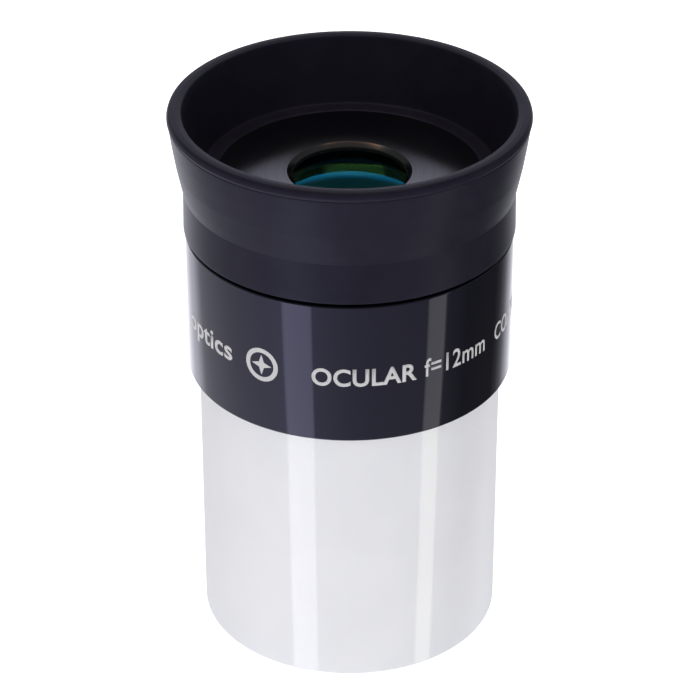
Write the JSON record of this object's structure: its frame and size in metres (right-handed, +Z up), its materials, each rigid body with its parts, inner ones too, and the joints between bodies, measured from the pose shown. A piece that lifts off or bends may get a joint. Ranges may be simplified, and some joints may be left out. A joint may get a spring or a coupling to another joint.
{
  "type": "telescope eyepiece",
  "caption": "A short telescope eyepiece for a 31.75 mm focuser: bright plated nosepiece, gloss black lettered housing, satin top plate and a flared rubber eyecup that folds down.",
  "frame": {"origin": "centre of the nosepiece's open end, which the eyepiece stands on", "axes": "+Z up the optical axis from the nosepiece to the eyecup; the part is round, so X and Y are free, and the lettering faces -Y"},
  "size_m": [0.0372, 0.0372, 0.0595],
  "materials": {
    "plated_metal": "satin chromium plate on turned brass",
    "gloss_black_metal": "gloss black paint on turned aluminium",
    "blackened_metal": "matt black anodised",
    "black_rubber": "matt moulded rubber",
    "crown_glass": "polished, blue-green anti-reflection coating",
    "flint_glass": "polished, blue-green anti-reflection coating"
  },
  "bodies": {
    "nosepiece": {"barrel": "plated_metal", "field_stop": "blackened_metal"},
    "head": {"housing": "gloss_black_metal", "lens_cell": "blackened_metal", "eye_flint_lens": "flint_glass", "eye_crown_lens": "crown_glass", "lens_spacer": "blackened_metal", "field_crown_lens": "crown_glass", "field_flint_lens": "flint_glass", "lens_retaining_ring": "blackened_metal", "eyecup_sleeve": "black_rubber"},
    "eyecup": {"eyecup_skirt": "black_rubber"}
  },
  "joints": [
    {"name": "housing_unscrew", "type": "slide", "parent": "nosepiece", "child": "head", "axis": [0, 0, 1], "range_m": [0, 0.012]},
    {"name": "eyecup_fold", "type": "slide", "parent": "head", "child": "eyecup", "axis": [0, 0, -1], "range_m": [0, 0.0058], "deforming": ["eyecup_skirt"]}
  ]
}
